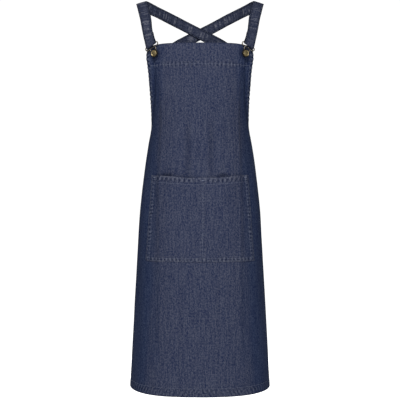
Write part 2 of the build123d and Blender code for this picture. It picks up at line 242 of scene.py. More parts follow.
form_spread = np.pad(FORM, ((1, 1), (0, 0)), mode="edge")
form_rises = form_spread[2:] - form_spread[:-2]
FORM_SLOPES = form_rises / form_rises[:, :1]


def form_at(z):
    """Half width, front depth, back depth and middle plane of the worn form."""
    i = np.clip(np.searchsorted(FORM[:, 0], z, side="right") - 1, 0, len(FORM) - 2)
    low, rise = FORM[i], FORM[i + 1] - FORM[i]
    span = rise[..., :1]
    t = (z[..., None] - low[..., :1]) / span
    start, end = FORM_SLOPES[i] * span, FORM_SLOPES[i + 1] * span
    values = low + t * start + t**2 * (3 * rise - 2 * start - end) + t**3 * (start + end - 2 * rise)
    return np.moveaxis(values[..., 1:], -1, 0)


def form_outline(z, bearing):
    """X and Y of the worn form, with bearings from -90 degrees in front to 90 behind."""
    half_width, front, back, middle = form_at(z)
    across, along = np.cos(bearing), np.sin(bearing)
    depth = np.where(along > 0, back, front)
    side = (across / half_width) ** 2 + (ROUNDNESS * along / depth) ** 2
    flat = (1 - ROUNDNESS**SQUARENESS) * (np.abs(along) / depth) ** SQUARENESS
    reach = (side ** (SQUARENESS / 2) + flat) ** (-1 / SQUARENESS)
    return reach * across, middle + reach * along


# The form's outline is read once into a table by height and arc
MAP_STEP = 2.5
MAP_ARC_STEP = 1
MAP_LOW = -1025
MAP_HIGH = -90
map_heights = np.arange(MAP_LOW, MAP_HIGH, MAP_STEP)
map_bearings = np.radians(np.linspace(-90, 90, 901))
outline_x, outline_y = form_outline(map_heights[:, None], map_bearings[None, :])
outline_steps = np.hypot(np.diff(outline_x, axis=1), np.diff(outline_y, axis=1))
outline_arcs = np.pad(np.cumsum(outline_steps, axis=1), ((0, 0), (1, 0)))
map_arcs = np.arange(0, outline_arcs.max() + MAP_ARC_STEP, MAP_ARC_STEP)
map_x = np.array([np.interp(map_arcs, a, x) for a, x in zip(outline_arcs, outline_x)])
map_y = np.array([np.interp(map_arcs, a, y) for a, y in zip(outline_arcs, outline_y)])


def on_form(arc, z):
    """The point of the worn form at an arc, negative on the left, and a height."""
    arc, z = np.broadcast_arrays(arc, z)
    row = np.clip((z - MAP_LOW) / MAP_STEP, 0, len(map_heights) - 1.001)
    column = np.clip(np.abs(arc) / MAP_ARC_STEP, 0, len(map_arcs) - 1.001)
    i, j = row.astype(int), column.astype(int)
    x, y = (table_at(table, i, j, row - i, column - j) for table in (map_x, map_y))
    return np.stack([np.sign(arc) * x, y, z], -1)


def form_normal(arc, z, step=1.5):
    """The outward direction of the worn form."""
    round_it = on_form(arc + step, z) - on_form(arc - step, z)
    up_it = on_form(arc, z + 3 * step) - on_form(arc, z - 3 * step)
    return unit(np.cross(round_it, up_it))


def half_round(z):
    """The arc of the back's centre line."""
    return np.interp(z, map_heights, outline_arcs[:, -1])


def side_arc(z):
    """The arc of the form's widest place."""
    return np.interp(z, map_heights, outline_arcs[:, len(map_bearings) // 2])


def arc_where(axis, value, z, start, end):
    """The arc between start and end at which the form's X (0) or Y (1) has a value."""
    start = np.broadcast_to(start, np.shape(z)).astype(float)
    end = np.broadcast_to(end, np.shape(z)).astype(float)
    rising = on_form(end, z)[..., axis] > on_form(start, z)[..., axis]
    for _ in range(30):
        middle = (start + end) / 2
        before = (on_form(middle, z)[..., axis] < value) == rising
        start = np.where(before, middle, start)
        end = np.where(before, end, middle)
    return (start + end) / 2


def front_arc(x, z):
    """The arc of a place on the front by its X."""
    return np.sign(x) * arc_where(0, np.abs(x), z, 0, side_arc(z))


def back_arc(x, z):
    """The arc of a place on the back by its X."""
    return arc_where(0, x, z, side_arc(z), half_round(z))


# ---- the panel's edges

armhole_knots = lengths_along(ARMHOLE)
armhole = cubic_through(armhole_knots, ARMHOLE, np.linspace(0, armhole_knots[-1], 160))
underarm = int(np.argmin(armhole[:, 1]))
UNDERARM = armhole[underarm, 1]
armhole_arcs = arc_where(1, armhole[:, 0], armhole[:, 1], 0, half_round(armhole[:, 1]))
armhole_flat = np.stack([armhole_arcs, armhole[:, 1]], -1)
armhole_length = lengths_along(armhole_flat)


def front_edge(z, branch=armhole_flat[underarm::-1]):
    """The arc that the front reaches: to the armhole, and below it to the side. With the armhole's
    rear branch, the arc at which the back part starts."""
    below = armhole_arcs[underarm] * half_round(z) / half_round(UNDERARM)
    return np.where(z < UNDERARM, below, np.interp(z, branch[:, 1], branch[:, 0]))


def back_edge(z):
    """The arc at which the cloth ends at the back gap."""
    return back_arc(BACK_GAP_HALF, z)


def edge_distances(arc, z):
    """The distance to the armhole's edge, the place along that edge, the distance to the back edge,
    and the rise from the bottom."""
    distance = np.full(np.shape(arc), FAR)
    place = np.zeros(np.shape(arc))
    near = z > UNDERARM - 2 * SIDE_HEM
    flat = np.stack([np.abs(arc[near]), z[near]], -1)
    apart = np.linalg.norm(flat[:, None] - armhole_flat, axis=-1)
    distance[near] = apart.min(1)
    place[near] = armhole_length[apart.argmin(1)]
    return distance, place, back_edge(z) - np.abs(arc), z - HEM_BOTTOM


def puckers(along, across, pitch, width, seed):
    """Ripples along a line of stitches: uneven hills, strongest beside the line."""
    drift = 1.3 * smooth_noise(along / (4 * pitch), across / (2 * width), seed)
    strength = 0.65 + 0.35 * smooth_noise(along / (3 * pitch), 0 * along, seed + 1)
    return strength * np.sin(2 * math.pi * along / pitch + 2.2 * drift) * bump(across, 0, width)


def seam_puckers(arc, z):
    """The ripples that the panel's seams draw up: beside the facing's stitches, slanting in the
    bottom hem, and along the side hems. About 1 at the strongest."""
    to_armhole, along_armhole, to_back, rise = edge_distances(arc, z)
    slanted = arc + 0.55 * rise * np.where(arc < 0, -1, 1)
    ripples = 0.42 * puckers(arc, z - FACING_STITCH, 9.5, 7, 11)
    ripples += 0.55 * puckers(slanted, rise - 0.55 * HEM_DEPTH, 10.5, 10, 17)
    ripples += puckers(along_armhole, to_armhole - 0.3 * SIDE_HEM, 11, 7, 23)
    return ripples + 0.8 * puckers(z, to_back - 0.5 * SIDE_HEM, 8.5, 6, 29)


def hollows(arc, grooves, z=0, sway=0):
    """The depth of grooves that run down side by side, swaying."""
    return sum(
        depth * bump(arc - sway * np.sin(z / SWAY_LENGTH + place), place, width)
        for place, width, depth in grooves
    )


def chest_fold_run(z):
    """How strong the folds that hang from the chest are."""
    return ramp(z, -560, -400) * ramp(-z, 290, 360)


def folds(arc, z):
    """How far the cloth stands out from the smooth worn form."""
    to_armhole, _, to_back, rise = edge_distances(arc, z)
    out = 0.9 * smooth_noise(arc / 55 + 7.3, z / 190, 3)
    out += 0.35 * smooth_noise(arc / 21 + 2.1, z / 60, 5)
    # the press creases, and the cloth falling back beside them
    crease = np.abs(arc) - CREASE_X
    crease_run = ramp(z, -930, -860) * ramp(-z, 150, 200)
    fall = ramp(crease, 0, 16) * within(crease, 30, 45)
    out += (0.5 * bump(crease, 0, 3) - CREASE_DEPTH * fall) * crease_run
    # folds from the chest, fainter ones down the skirt, and hollows behind the pocket's mouth
    out -= hollows(arc, CHEST_FOLDS) * chest_fold_run(z)
    out -= hollows(arc, SKIRT_FOLDS, z, SKIRT_SWAY) * ramp(-z, 560, 760)
    out -= 1.2 * hollows(arc, MOUTH_HOLLOWS) * bump(z, POCKET_TOP - 6, 26)
    # the seams' ripples, and the cloth drawn in along each row of stitches
    out += 0.9 * seam_puckers(arc, z)
    out -= 0.35 * bump(z, FACING_STITCH, 1.6) + 0.35 * bump(rise, HEM_DEPTH, 1.8)
    out -= 0.3 * bump(to_armhole, SIDE_HEM, 1.6) + 0.3 * bump(to_back, SIDE_HEM, 1.6)
    out += 0.3 * within(rise, 0.8 * HEM_DEPTH, 0.2 * HEM_DEPTH)
    # the hollow beside the bib's side hems, and their edges turning outwards
    out -= 1.6 * bump(to_armhole, 2.1 * SIDE_HEM, 0.7 * SIDE_HEM) * (np.abs(arc) < side_arc(z))
    flare = ramp(-z, 128, 160) * ramp(z, -300, -215)
    out += 4.2 * flare * bump(to_armhole, 0, 15) * (on_form(arc, z)[..., 1] < 0)
    seat = np.hypot(np.abs(arc) - button_arc, z - BUTTON_Z)
    return out * ramp(seat, BUTTON_FLAT, BUTTON_CALM)


def on_cloth(arc, z, lift=0.0):
    """A place on the cloth, lifted off it, and the way it faces."""
    normal = form_normal(arc, z)
    out = folds(arc, z) + lift
    return on_form(arc, z) + out[..., None] * normal, normal


button_arc = -float(front_arc(BUTTON_X, BUTTON_Z))
button_seat = on_form(-button_arc, BUTTON_Z)
button_axis = np.array([-math.sin(BUTTON_TURN), -math.cos(BUTTON_TURN), 0.0])
button_across = np.array([math.cos(BUTTON_TURN), -math.sin(BUTTON_TURN), 0.0])
button_up = np.array([0.0, 0.0, 1.0])


# ---- meshes


def grid(rows, columns):
    """Shares from 0 to 1 up the rows, and from -1 to 1 across the columns."""
    return np.linspace(0, 1, rows)[:, None], np.linspace(-1, 1, columns)[None, :]


def grid_faces(rows, columns):
    """The faces of a grid whose points are listed row by row."""
    index = np.arange(rows * columns).reshape(rows, columns)
    corners = [index[:-1, :-1], index[:-1, 1:], index[1:, 1:], index[1:, :-1]]
    return np.stack(corners, -1).reshape(-1, 4)


def tube_faces(rows, columns):
    """The faces of a tube whose points are listed ring by ring."""
    index = np.arange(rows * columns).reshape(rows, columns)
    ahead = np.roll(index, -1, axis=1)
    return np.stack([index[:-1], ahead[:-1], ahead[1:], index[1:]], -1).reshape(-1, 4)


def add_object(name, data):
    made = bpy.data.objects.new(name, data)
    bpy.context.scene.collection.objects.link(made)
    return made


def make_object(name, points, faces, materials, face_materials=None, uv=None, marks=None):
    """A smooth-shaded mesh with its flat cloth coordinates and the marks its material reads."""
    mesh = bpy.data.meshes.new(name)
    mesh.from_pydata((points * MM).tolist(), [], faces if isinstance(faces, list) else faces.tolist())
    for material in materials:
        mesh.materials.append(material)
    if face_materials is not None:
        mesh.polygons.foreach_set("material_index", face_materials.astype(np.int32))
    mesh.polygons.foreach_set("use_smooth", np.ones(len(mesh.polygons), bool))
    if uv is not None:
        corners = np.zeros(len(mesh.loops), np.int32)
        mesh.loops.foreach_get("vertex_index", corners)
        layer = mesh.uv_layers.new(name="UVMap")
        layer.data.foreach_set("uv", (uv[corners] * MM).astype(np.float32).ravel())
    for mark, values in (marks or {}).items():
        attribute = mesh.attributes.new(mark, "FLOAT", "POINT")
        attribute.data.foreach_set("value", values.astype(np.float32))
    mesh.update()
    return add_object(name, mesh)


WELD_GAP = 0.001


def weld(flat, faces):
    """Joins the points that lie at the same place of the flat cloth."""
    keys = np.round(flat / WELD_GAP).astype(np.int64)
    _, first, index = np.unique(keys, axis=0, return_index=True, return_inverse=True)
    return flat[first], index.reshape(-1)[faces]


def close_sheet(outer, normals, thickness, faces):
    """Gives a sheet its inner layer and a rounded rim. Returns points, faces, each face's side (0
    outside and rim, 1 inside), and each point's outer point."""
    count = len(outer)
    inner = outer - normals * thickness[:, None]
    starts = faces.ravel()
    ends = np.roll(faces, -1, axis=1).ravel()
    open_edge = ~np.isin(starts * count + ends, ends * count + starts)
    a, b = starts[open_edge], ends[open_edge]
    away = np.zeros_like(outer)
    sideways = unit(np.cross(outer[b] - outer[a], normals[a]))
    np.add.at(away, a, sideways)
    np.add.at(away, b, sideways)
    rim = np.unique(np.concatenate([a, b]))
    away = unit(away[rim])
    rings = []
    for share in (0.25, 0.75):
        inwards = normals[rim] * share - away * 0.4 * math.sin(math.pi * share)
        rings.append(outer[rim] - inwards * thickness[rim][:, None])
    place = np.zeros(count, int)
    place[rim] = np.arange(len(rim))
    every = np.arange(count)
    levels = [every, 2 * count + place, 2 * count + len(rim) + place, count + every]
    rim_faces = [np.stack([c[b], c[a], d[a], d[b]], -1) for c, d in zip(levels, levels[1:])]
    points = np.concatenate([outer, inner, *rings])
    every_face = np.concatenate([faces, faces[:, ::-1] + count, *rim_faces])
    side = np.repeat([0, 1, 0], [len(faces), len(faces), 3 * len(a)])
    source = np.concatenate([every, every, rim, rim])
    return points, every_face, side, source


def make_sheet(name, arc, z, faces, placed, thickness, marks, materials=None):
    """A cloth piece from its outer points and the way they face."""
    points, every_face, side, source = close_sheet(*placed, thickness, faces)
    marks = {mark: values[source] for mark, values in marks.items()}
    flat = np.stack([arc, z], -1)[source]
    return make_object(name, points, every_face, materials or [DENIM, DENIM_INSIDE], side, flat, marks)


# ---- materials


class Nodes:
    """The node tree of a material or a world, with short ways to add to it. An input is a number,
    a tuple, or another node's output."""

    def __init__(self, owner, shader="Principled BSDF"):
        owner.use_nodes = True
        self.owner = owner
        self.tree = owner.node_tree
        self.shader = self.tree.nodes[shader]

    def put(self, node, inputs):
        for key, value in inputs.items():
            socket = node.inputs[key]
            if isinstance(value, bpy.types.NodeSocket):
                self.tree.links.new(value, socket)
            else:
                socket.default_value = (*value, 1) if socket.type == "RGBA" else value

    def add(self, kind, inputs=None, output=0, **settings):
        """Adds a node and returns an output."""
        node = self.tree.nodes.new(kind)
        for key, value in settings.items():
            setattr(node, key, value)
        self.put(node, inputs or {})
        return node.outputs[output]

    def math(self, operation, *values):
        return self.add("ShaderNodeMath", dict(enumerate(values)), operation=operation)

    def plus(self, first, second):
        return self.math("ADD", first, second)

    def times(self, first, second):
        return self.math("MULTIPLY", first, second)

    def waves(self, value, length):
        return self.math("SINE", self.times(value, 2 * math.pi / length))

    def vector(self, operation, *values, output=0):
        return self.add("ShaderNodeVectorMath", dict(enumerate(values)), output, operation=operation)

    def noise(self, vector, scale, detail=2.0, roughness=0.5, stretch=None):
        if stretch:
            vector = self.add("ShaderNodeMapping", {"Vector": vector, "Scale": stretch}, "Vector")
        inputs = {"Vector": vector, "Scale": scale, "Detail": detail, "Roughness": roughness}
        return self.add("ShaderNodeTexNoise", inputs, "Fac")

    def step(self, value, low, high):
        """Reads a value as 0 at low and 1 at high."""
        inputs = {"Value": value, "From Min": low, "From Max": high}
        return self.add("ShaderNodeMapRange", inputs, "Result")

    def mix(self, share, first, second, blend="MIX"):
        inputs = {0: share, 6: first, 7: second}
        return self.add("ShaderNodeMix", inputs, 2, data_type="RGBA", blend_type=blend)

    def bump(self, height, distance, strength=1.0):
        inputs = {"Height": height, "Distance": distance, "Strength": strength}
        return self.add("ShaderNodeBump", inputs, "Normal")

    def inside_button_radius(self, place, radius):
        """1 within a radius of either button's axis, 0 beyond it."""
        mirrored = self.vector("ABSOLUTE", place)
        from_seat = self.vector("SUBTRACT", mirrored, metres(*np.abs(button_seat)))
        aside = self.vector("CROSS_PRODUCT", from_seat, tuple(np.abs(button_axis)))
        reach = self.vector("LENGTH", aside, output="Value")
        return self.step(reach, (radius + 0.5) * MM, (radius - 0.5) * MM)

    def attribute(self, name):
        return self.add("ShaderNodeAttribute", output="Fac", attribute_name=name)

    def finish(self, colour, **inputs):
        """Gives the shader its inputs and returns the material."""
        named = {key.replace("_", " "): value for key, value in inputs.items()}
        self.put(self.shader, {"Base Color": colour, **named})
        return self.owner


# Painted shade: the tint that darkens the sides where they turn away from the light
SIDE_SHADE_TINT = (0.62, 0.76, 0.94)
EDGE_SHADE = (0.20, 0.24, 0.32)
TWILL_PITCH = 1.15
YARN_PITCH = 0.9


def denim(name, warp, weft, shade, weft_share, edge_dark, rub_and_highlight_share=0.5):
    """Twill of dark warp and pale weft, with slubs, faded patches, crests worn pale by rubbing and
    given painted highlight, darker folded edges with painted shade in hollows and pucker troughs,
    and painted shade where the cloth turns away from the light."""
    n = Nodes(bpy.data.materials.new(name))
    flat = n.add("ShaderNodeUVMap", output="UV", uv_map="UVMap")
    x = n.add("ShaderNodeSeparateXYZ", {0: flat}, "X")
    y = x.node.outputs["Y"]
    ridge = n.waves(n.plus(x, n.times(y, 0.6)), TWILL_PITCH * MM)
    weave = n.plus(n.times(ridge, 0.35), n.times(n.waves(y, YARN_PITCH * MM), 0.15))
    slub = n.noise(flat, 330, 1.0, stretch=(1.0, 0.5, 1.0))
    heather = n.noise(flat, 340, 1.0, stretch=(1.0, 0.95, 1.0))
    streak = n.noise(flat, 240, 1.0, stretch=(1.0, 0.08, 1.0))
    pale = n.plus(n.step(slub, 0.44, 0.57), n.step(heather, 0.44, 0.57))
    pale = n.plus(pale, n.times(n.step(streak, 0.44, 0.58), 0.6))
    pale = n.plus(n.times(pale, 0.4), n.times(weave, 0.35))
    cloth = n.mix(n.times(pale, weft_share), warp, weft)
    fade = n.step(n.noise(flat, 9, 3.0, 0.55), 0.3, 0.7)
    cloth = n.mix(n.times(fade, 0.22), cloth, shade, "MULTIPLY")
    # painted shade of the sides, where they turn away from the light
    cloth = n.mix(n.attribute("painted_side_shade"), cloth, SIDE_SHADE_TINT, "MULTIPLY")
    # crests worn pale by rubbing, and painted highlight where light would catch them
    rubbed_and_highlit = n.times(n.attribute("rubbed_and_highlit"), n.step(slub, 0.35, 0.55))
    cloth = n.mix(n.times(rubbed_and_highlit, rub_and_highlight_share), cloth, weft)
    # the edge mark darkens folded edges, and paints shade in hollows, pucker troughs and round the
    # buttons
    cloth = n.mix(n.times(n.attribute("edge"), edge_dark), cloth, EDGE_SHADE, "MULTIPLY")
    rough = n.plus(n.times(n.step(heather, 0.3, 0.7), 0.1), 0.82)
    normal = n.bump(n.plus(weave, n.times(slub, 1.2)), 0.12 * MM, 0.7)
    return n.finish(cloth, Roughness=rough, Specular_IOR_Level=0.04, Normal=normal)


def thread(name, colour):
    """Twisted sewing thread."""
    n = Nodes(bpy.data.materials.new(name))
    strand = n.noise(n.add("ShaderNodeTexCoord", output="Object"), 2600)
    dark = tuple(0.72 * c for c in colour)
    tone = n.mix(n.step(strand, 0.35, 0.65), dark, colour)
    return n.finish(tone, Roughness=0.6, Specular_IOR_Level=0.35, Normal=n.bump(strand, 0.08 * MM))


def aged_metal(name, bright, dark, rough, face_radius=None):
    """Metal with dark hollows and worn, brighter edges. With a face radius, it is bright only
    that near a button's axis."""
    n = Nodes(bpy.data.materials.new(name))
    place = n.add("ShaderNodeTexCoord", output="Object")
    edges = n.add("ShaderNodeNewGeometry", output="Pointiness")
    worn = n.plus(n.step(n.noise(place, 260, 4.0, 0.6), 0.42, 0.62), n.step(edges, 0.46, 0.54))
    worn = n.times(worn, 0.5)
    if face_radius:
        worn = n.plus(n.times(worn, 0.6), 0.4)
        worn = n.times(worn, n.inside_button_radius(place, face_radius))
    scratches = n.noise(place, 1800, 3.0, 0.7, (1.0, 1.0, 0.15))
    rough = n.plus(n.times(n.step(scratches, 0.3, 0.7), 0.18), rough)
    normal = n.bump(scratches, 0.02 * MM, 0.5)
    return n.finish(n.mix(worn, dark, bright), Metallic=1.0, Roughness=rough, Normal=normal)


DENIM = denim("denim", (0.013, 0.021, 0.062), (0.170, 0.180, 0.226), (0.80, 0.85, 0.97), 0.43, 0.8)
DENIM_INSIDE = denim(
    "denim_inside", (0.075, 0.086, 0.135), (0.24, 0.25, 0.30), (0.85, 0.88, 0.97), 0.5, 0.2
)
DENIM_STRAP = denim(
    "denim_strap", (0.018, 0.026, 0.060), (0.180, 0.186, 0.225), (0.80, 0.84, 0.95), 0.32, 0.95, 0.65
)
THREAD = thread("thread", (0.24, 0.27, 0.38))
BRASS = aged_metal("button_brass", (0.50, 0.40, 0.21), (0.028, 0.023, 0.018), 0.36, BRIGHT_RADIUS)
GUNMETAL = aged_metal("buckle_wire", (0.30, 0.27, 0.22), (0.07, 0.062, 0.05), 0.30)
TACK_METAL = aged_metal("tack_metal", (0.42, 0.40, 0.36), (0.14, 0.13, 0.11), 0.36)


# ---- body panel


def corner_droop(across):
    """How far the bib's top drops towards its corners."""
    return CORNER_DROOP * ramp(np.abs(across), 0.55, 1.0)


def front_part(lower):
    """Flat places of the front, from armhole to armhole, with the bib on top."""
    across = np.linspace(-1, 1, FRONT_COLUMNS + 1)[None, :]
    top = BIB_TOP - corner_droop(across)
    upper = UNDERARM + (np.linspace(0, 1, 92) ** 1.3)[1:, None] * (top - UNDERARM)
    z = np.concatenate([lower[:, None] + 0 * across, upper])
    return across * front_edge(z), z


def back_part(lower, side):
    """Flat places of one back part, from the side round to the back gap."""
    across = np.linspace(0, 1, BACK_COLUMNS + 1)[None, :]
    top = BACK_CORNER_OUTER + across * (BACK_CORNER_INNER - BACK_CORNER_OUTER)
    upper = UNDERARM + (np.linspace(0, 1, 46) ** 1.5)[1:, None] * (top - UNDERARM)
    z = np.concatenate([lower[:, None] + 0 * across, upper])
    start, end = front_edge(z, armhole_flat[underarm:]), back_edge(z)
    return side * (start + across * (end - start))[:, ::side], z[:, ::side]


def hem_thickness(arc, z):
    """The cloth's thickness, with hems along the armholes, back edges and bottom."""
    to_armhole, _, to_back, rise = edge_distances(arc, z)
    hems = ((to_armhole, SIDE_HEM), (to_back, SIDE_HEM), (rise, HEM_DEPTH))
    turned = [within(distance, depth, HEM_SOFTNESS) for distance, depth in hems]
    return CLOTH + HEM_PLIES * np.maximum.reduce(turned)


def edges_and_painted_shade(arc, z):
    """1 on the folded edges and beside the seams, and painted shade in the hollows, at the
    pocket's mouth, beside the pocket and round the buttons; 0 in the open cloth.
    """
    to_armhole, _, to_back, rise = edge_distances(arc, z)
    before_side = np.abs(arc) < side_arc(z)
    over_mouth = np.where(np.abs(arc) < POCKET_HALF_TOP, z - mouth_height(arc), FAR)
    along_pocket = ramp(z, POCKET_BOTTOM, POCKET_BOTTOM + 5) * (over_mouth < 3)
    beside_pocket = np.abs(arc) - pocket_half(z) * 1.02
    from_button = np.hypot(np.abs(arc) - button_arc, z - BUTTON_Z)
    marks = [
        bump(to_armhole, 0, 5),
        0.3 * bump(to_armhole, SIDE_HEM - 1, 2),
        0.6 * within(to_armhole, 0.6 * SIDE_HEM, 0.4 * SIDE_HEM) * before_side,
        # painted shade in the hollow beside the bib's side hem
        0.5 * bump(to_armhole, 2.1 * SIDE_HEM, 0.7 * SIDE_HEM) * before_side,
        0.8 * bump(to_back, 0, 3),
        0.7 * bump(rise, 0, 2.5),
        0.35 * bump(rise, HEM_DEPTH - 1.5, 2),
        0.5 * bump(z, BIB_TOP, 2) * (np.abs(arc) < CREASE_X * 2),
        # painted shadow at the pocket's mouth and beside the pocket's sides
        0.4 * bump(over_mouth, -2, 4),
        0.4 * bump(beside_pocket, 0, 4) * along_pocket,
        # painted shadow round the button
        0.75 * bump(from_button, 5, 9),
    ]
    # painted shade in the hollows of the chest folds and above the pocket's mouth
    marks += [0.12 * hollows(arc, [fold]) * chest_fold_run(z) for fold in CHEST_FOLDS]
    gaps = [MOUTH_SHADE * hollows(arc, [hollow]) for hollow in MOUTH_HOLLOWS]
    marks += [np.minimum(gap * bump(over_mouth, 2.5, 4.5), 1) for gap in gaps]
    return np.maximum.reduce(marks)


def painted_side_shade(arc, z):
    """1 where the sides get painted shade, as they turn away from the light; 0 on the front."""
    unshaded_half = np.interp(-z, *UNSHADED_FRONT.T)
    drift = 5 * smooth_noise(z / 60, np.sign(arc) * 3.5, 71)
    dark = ramp(np.abs(arc) + drift, unshaded_half - 14, unshaded_half + 28)
    skirt = ramp(-z, 640, 690) * ramp(z, -960, -900)
    past_crease = ramp(np.abs(arc) + 0.3 * drift, CREASE_X - 1, CREASE_X + 4)
    return np.maximum(dark, 0.4 * past_crease * skirt)


def make_panel():
    """Bib, sides and skirt, with close rows in the bottom hem and at the underarms."""
    hem = np.linspace(HEM_BOTTOM, HEM_BOTTOM + 1.15 * HEM_DEPTH, 12)
    lower = np.concatenate([hem, np.linspace(hem[-1], UNDERARM, 80)[1:]])
    parts = [front_part(lower), back_part(lower, 1), back_part(lower, -1)]
    parts = [(np.stack(part, -1).reshape(-1, 2), grid_faces(*part[0].shape)) for part in parts]
    flat, faces = weld(*join(parts))
    arc, z = flat.T
    ripples = 2.2 * seam_puckers(arc, z)
    edges = edges_and_painted_shade(arc, z) * (1 - 0.9 * np.clip(1.5 * ripples, 0, 1))
    marks = {
        # painted shade in the puckers' troughs; crests worn pale by rubbing, with painted highlight
        "edge": np.maximum(edges, np.clip(-ripples, 0, 1)),
        "painted_side_shade": painted_side_shade(arc, z),
        "rubbed_and_highlit": np.clip(ripples, 0, 1),
    }
    placed, thickness = on_cloth(arc, z), hem_thickness(arc, z)
    return make_sheet("body_panel_cloth", arc, z, faces, placed, thickness, marks)


# ---- bib facing


def make_facing():
    """The band of cloth behind the top of the bib, its lower edge turned under."""
    rows, columns = 26, 150
    share, across = grid(rows, columns)
    top = BIB_TOP - 1.2 - corner_droop(across)
    bottom = FACING_STITCH - 3
    z = bottom + share * (top - bottom)
    arc = across * (front_edge(z) - 0.8 * SIDE_HEM)
    arc, z = arc.ravel(), z.ravel()
    placed = on_cloth(arc, z, -CLOTH - 0.1)
    thickness = 1.0 + 0.8 * within(z - bottom, 8, 1)
    marks = {"edge": bump(z, bottom, 2.5)}
    faces, inside_out = grid_faces(rows, columns), [DENIM_INSIDE, DENIM]
    return make_sheet("bib_facing_cloth", arc, z, faces, placed, thickness, marks, inside_out)


# ---- pocket


def pocket_half(z):
    """Half the pocket's width at a height."""
    share = (z - POCKET_BOTTOM) / (POCKET_TOP - POCKET_BOTTOM)
    return POCKET_HALF_BOTTOM + share * (POCKET_HALF_TOP - POCKET_HALF_BOTTOM)


def pocket_lift(x, z):
    """How far the pocket stands off the skirt: sewn down at its sides, bottom and divider, and
    open between them at its mouth."""
    share = np.clip((z - POCKET_BOTTOM) / (POCKET_TOP - POCKET_BOTTOM), 0, 1)
    half = pocket_half(z) - POCKET_MARGIN
    lift = np.zeros(np.shape(x))
    for start, end, gape, lean in ((-half, DIVIDER_X, 1.0, 0.78), (DIVIDER_X, half, 0.85, 0.9)):
        t = np.clip((x - start) / (end - start), 0, 1)
        lift += gape * np.sin(math.pi * t**lean) ** 1.5
    return POCKET_GAPE * lift * (0.12 * ramp(share, 0.0, 0.35) + 0.88 * share**2.4)


def pocket_margin(x, z):
    """The distance to the nearer of the pocket's side and its bottom."""
    return np.minimum(pocket_half(z) - np.abs(x), z - POCKET_BOTTOM)


def mouth_height(x):
    """The height of the pocket's sagging mouth."""
    return POCKET_TOP - POCKET_SAG * (1 - (x / POCKET_HALF_TOP) ** 2)


def pocket_puckers(x, z):
    """The ripples that the pocket's seams draw up: like a ladder beside its edges, small ones at
    the divider, and round ones in its mouth's hem. About 1 at the strongest."""
    along = np.where(pocket_half(z) - np.abs(x) < z - POCKET_BOTTOM, z, x)
    from_seam = pocket_margin(x, z) - 0.55 * POCKET_MARGIN
    ripples = 0.8 * puckers(along, from_seam, 9.5, 5, 37)
    ripples += 0.3 * puckers(z, x - DIVIDER_X, 9, 5, 41)
    from_mouth = mouth_height(x) - z
    return ripples + 0.65 * puckers(x, from_mouth - 0.35 * MOUTH_HEM, 11.5, 6, 43)


def on_pocket(x, z):
    """A place on the pocket and the way it faces."""
    arc = front_arc(x, z)
    margin = pocket_margin(x, z)
    off = POCKET_STAND_OFF + pocket_lift(x, z)
    off += 0.5 * within(margin, POCKET_MARGIN - 1, 2.5)
    off -= 0.3 * bump(margin, POCKET_MARGIN, 1.6) + 0.35 * bump(x, DIVIDER_X, 1.8)
    off -= 0.35 * bump(mouth_height(x) - z, MOUTH_HEM, 1.6)
    off += 0.8 * pocket_puckers(x, z)
    off += 0.6 * smooth_noise(arc / 40, z / 55, 47)
    return on_cloth(arc, z, off)


def make_pocket():
    rows, columns = 96, 140
    share, across = grid(rows, columns)
    top = POCKET_TOP - POCKET_SAG * (1 - across**2) + 0.9 * np.sin(9 * across + 1)
    z = POCKET_BOTTOM + share * (top - POCKET_BOTTOM)
    x = across * pocket_half(z)
    x, z = x.ravel(), z.ravel()
    arc = front_arc(x, z)
    from_mouth = mouth_height(x) - z
    thickness = 0.9 + within(from_mouth, MOUTH_HEM, 1)
    ripples = 2.4 * pocket_puckers(x, z)
    pale = np.maximum(0.8 * bump(pocket_margin(x, z), 0.8, 1.8), bump(from_mouth, 0.8, 2.4))
    marks = {
        # painted shade in the puckers' troughs; worn pale edges, and crests with painted highlight
        "edge": 0.75 * np.clip(-ripples, 0, 1) * (1 - pale),
        "painted_side_shade": 0.8 * painted_side_shade(arc, z),
        "rubbed_and_highlit": np.maximum(pale, np.clip(ripples, 0, 1)),
    }
    faces, placed = grid_faces(rows, columns), on_pocket(x, z)
    return make_sheet("pocket_cloth", arc + 310, z + 170, faces, placed, thickness, marks)


# ---- stitches


def stitches(points, normals, length=STITCH_LENGTH, pitch=STITCH_PITCH, radius=THREAD_RADIUS):
    """Threads along a line: each comes up, lies on the cloth and goes down again."""
    total = lengths_along(points)[-1]
    starts = np.arange(0.5 * (pitch - length), total - length, pitch)
    shares = np.array([0, 0.2, 0.8, 1])
    heights = np.tile(np.array([-0.9, 0.45, 0.45, -0.9]) * radius, len(starts))[:, None]
    radii = np.tile(np.array([0.35, 0.9, 0.9, 0.35]) * radius, len(starts))[:, None, None]
    at = (starts[:, None] + length * shares).ravel()
    facing = unit(along_line(points, normals, at))
    ahead = unit(along_line(points, points, at + 0.2) - along_line(points, points, at - 0.2))
    centres = along_line(points, points, at) + facing * heights
    sides = 6
    turn = 2 * math.pi * np.arange(sides)[:, None] / sides
    ring = np.cross(ahead, facing)[:, None] * np.cos(turn) + facing[:, None] * np.sin(turn)
    ring = centres[:, None] + ring * radii
    start = np.array([(0, 1, 2, 5), (5, 2, 3, 4)])
    end = start[:, ::-1] + (len(shares) - 1) * sides
    one = np.concatenate([tube_faces(len(shares), sides)[:, ::-1], start, end])
    faces = one + len(shares) * sides * np.arange(len(starts))[:, None, None]
    return ring.reshape(-1, 3), faces.reshape(-1, 4)


